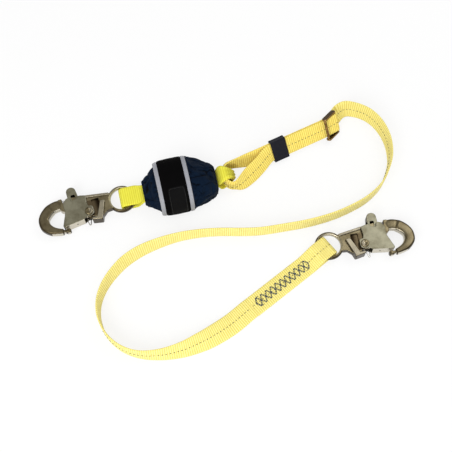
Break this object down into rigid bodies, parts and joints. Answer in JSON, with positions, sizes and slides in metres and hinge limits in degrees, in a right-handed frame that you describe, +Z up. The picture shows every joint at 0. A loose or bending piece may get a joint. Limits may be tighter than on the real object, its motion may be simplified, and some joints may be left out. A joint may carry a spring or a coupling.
{
  "type": "shock absorbing lanyard",
  "caption": "Fall arrest lanyard: adjustable yellow web with a fabric-covered energy absorber pack and a self-locking forged snap hook at each end.",
  "frame": {"origin": "on the floor plane, under the middle of the lanyard's outline without its free web", "axes": "+X from hook A towards hook B along the lanyard's longest extent, +Z up from the floor that it lies on"},
  "size_m": [0.4566, 0.3312, 0.0426],
  "materials": {
    "plated_steel": "olive-gold plated forging, satin",
    "spring_steel": "bright drawn wire",
    "lime_web": "woven polyester web of the pack's loops",
    "yellow_web": "woven polyester web with a dark tracer",
    "navy_fabric": "plain woven cloth",
    "black_web": "matt woven band",
    "grey_trim": "reflective grey edging",
    "adjuster_steel": "dull plated steel",
    "keeper_sleeve": "matt moulded sleeve",
    "white_tear_web": "raw woven tear web"
  },
  "bodies": {
    "web_and_pack": {"pack_cover": "navy_fabric", "label_band": "black_web", "band_trim_hook_end": "grey_trim", "band_trim_strap_end": "grey_trim", "tear_web": "white_tear_web", "hook_a_loop": "lime_web", "strap_end_loop": "lime_web", "adjuster_leg": "yellow_web", "adjuster_frame": "adjuster_steel", "adjuster_bar": "adjuster_steel", "hook_b_loop": "yellow_web", "main_web": "yellow_web"},
    "hook_a": {"hook_a_body": "plated_steel", "hook_a_gate_rivet": "plated_steel", "hook_a_gate_spring": "spring_steel", "hook_a_lock_pin": "spring_steel", "hook_a_lock_spring": "spring_steel"},
    "gate_a": {"hook_a_gate": "plated_steel"},
    "lock_a": {"hook_a_lock": "plated_steel"},
    "hook_b": {"hook_b_body": "plated_steel", "hook_b_gate_rivet": "plated_steel", "hook_b_gate_spring": "spring_steel", "hook_b_lock_pin": "spring_steel", "hook_b_lock_spring": "spring_steel"},
    "gate_b": {"hook_b_gate": "plated_steel"},
    "lock_b": {"hook_b_lock": "plated_steel"},
    "keeper": {"keeper": "keeper_sleeve"}
  },
  "joints": [
    {"name": "hook_a_swing", "type": "hinge", "parent": "web_and_pack", "child": "hook_a", "pos_m": [-0.11349, 0.01956, 0.009], "axis": [-0.2215, 0.9751, 0], "range_deg": [0, 75], "deforming": ["hook_a_loop"]},
    {"name": "hook_a_gate", "type": "hinge", "parent": "hook_a", "child": "gate_a", "pos_m": [-0.167, -0.00263, 0.009], "axis": [0, 0, -1], "range_deg": [0, 32], "stiffness_Nm_per_rad": 0.2, "springref_deg": -17.19, "deforming": ["hook_a_gate_spring"]},
    {"name": "hook_a_lock", "type": "hinge", "parent": "hook_a", "child": "lock_a", "pos_m": [-0.18602, 0.00694, 0.009], "axis": [0, 0, -1], "range_deg": [-10, 0], "stiffness_Nm_per_rad": 0.08, "springref_deg": 17.19, "deforming": ["hook_a_lock_spring"]},
    {"name": "hook_b_swing", "type": "hinge", "parent": "web_and_pack", "child": "hook_b", "pos_m": [0.11216, -0.0554, 0.009], "axis": [0.628, -0.7782, 0], "range_deg": [0, 75], "deforming": ["hook_b_loop"]},
    {"name": "hook_b_gate", "type": "hinge", "parent": "hook_b", "child": "gate_b", "pos_m": [0.16693, -0.04468, 0.009], "axis": [0, 0, 1], "range_deg": [0, 32], "stiffness_Nm_per_rad": 0.2, "springref_deg": -17.19, "deforming": ["hook_b_gate_spring"]},
    {"name": "hook_b_lock", "type": "hinge", "parent": "hook_b", "child": "lock_b", "pos_m": [0.17944, -0.02745, 0.009], "axis": [0, 0, 1], "range_deg": [-10, 0], "stiffness_Nm_per_rad": 0.08, "springref_deg": 17.19, "deforming": ["hook_b_lock_spring"]},
    {"name": "keeper_slide", "type": "slide", "parent": "web_and_pack", "child": "keeper", "axis": [0.9035, 0.4266, 0.0409], "range_m": [-0.002, 0.045]}
  ],
  "couplings": [
    {"joint": "hook_a_lock", "follows": "hook_a_gate", "ratio": -0.3125},
    {"joint": "hook_b_lock", "follows": "hook_b_gate", "ratio": -0.3125}
  ]
}
